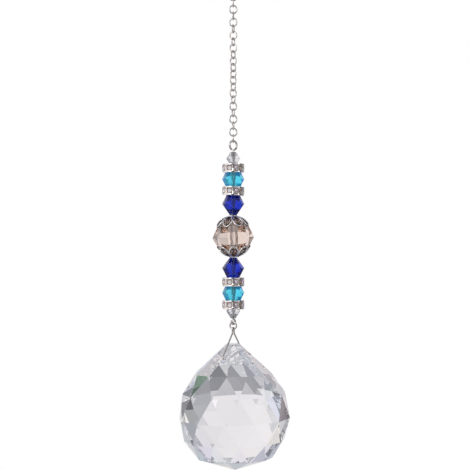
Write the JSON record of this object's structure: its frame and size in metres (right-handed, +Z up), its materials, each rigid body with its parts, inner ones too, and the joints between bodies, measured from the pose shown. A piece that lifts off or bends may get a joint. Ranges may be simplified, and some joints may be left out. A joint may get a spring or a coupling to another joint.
{
  "type": "crystal suncatcher",
  "caption": "Hanging ornament: a faceted clear crystal ball on a wire bail below a pin of coloured crystal beads, on a fine link chain with a hanging ring.",
  "frame": {"origin": "inside top of the hanging ring, the point where the ring bears on the hook that holds the ornament", "axes": "+Z up, against gravity; the hanging ring lies in the XZ plane; -Y is the front"},
  "size_m": [0.0302, 0.0302, 0.1477],
  "materials": {
    "silver_wire": "drawn, silver-plated wire, a little tarnished",
    "antique_silver": "cast, oxidised in the hollows and rubbed bright on top",
    "rhinestone_rondelle": "silver-plated setting with iridescent coated stones round the rim",
    "clear_crystal": "cut and polished lead crystal",
    "teal_crystal": "cut and polished coloured glass",
    "cobalt_crystal": "cut and polished coloured glass",
    "champagne_crystal": "cut and polished coloured glass"
  },
  "bodies": {
    "root": {"hanging_ring": "silver_wire", "chain_link_01": "silver_wire", "chain_link_02": "silver_wire", "chain_link_03": "silver_wire", "chain_link_04": "silver_wire", "chain_link_05": "silver_wire", "chain_link_06": "silver_wire", "chain_link_07": "silver_wire", "chain_link_08": "silver_wire", "chain_link_09": "silver_wire", "chain_link_10": "silver_wire", "chain_link_11": "silver_wire", "chain_link_12": "silver_wire", "chain_link_13": "silver_wire", "chain_link_14": "silver_wire", "chain_link_15": "silver_wire", "chain_link_16": "silver_wire", "chain_link_17": "silver_wire", "chain_link_18": "silver_wire", "chain_link_19": "silver_wire", "chain_link_20": "silver_wire", "chain_link_21": "silver_wire", "chain_link_22": "silver_wire", "chain_link_23": "silver_wire", "chain_link_24": "silver_wire", "chain_link_25": "silver_wire", "chain_link_26": "silver_wire", "chain_link_27": "silver_wire", "chain_link_28": "silver_wire", "eye_pin": "silver_wire", "clear_bead_upper": "clear_crystal", "rondelle_1": "rhinestone_rondelle", "teal_bead_upper": "teal_crystal", "rondelle_2": "rhinestone_rondelle", "cobalt_bead_upper": "cobalt_crystal", "bead_cap_upper": "antique_silver", "champagne_bead": "champagne_crystal", "bead_cap_lower": "antique_silver", "cobalt_bead_lower": "cobalt_crystal", "rondelle_3": "rhinestone_rondelle", "teal_bead_lower": "teal_crystal", "rondelle_4": "rhinestone_rondelle", "clear_bead_lower": "clear_crystal", "jump_ring": "silver_wire", "bail": "silver_wire", "crystal_ball": "clear_crystal"}
  },
  "joints": []
}
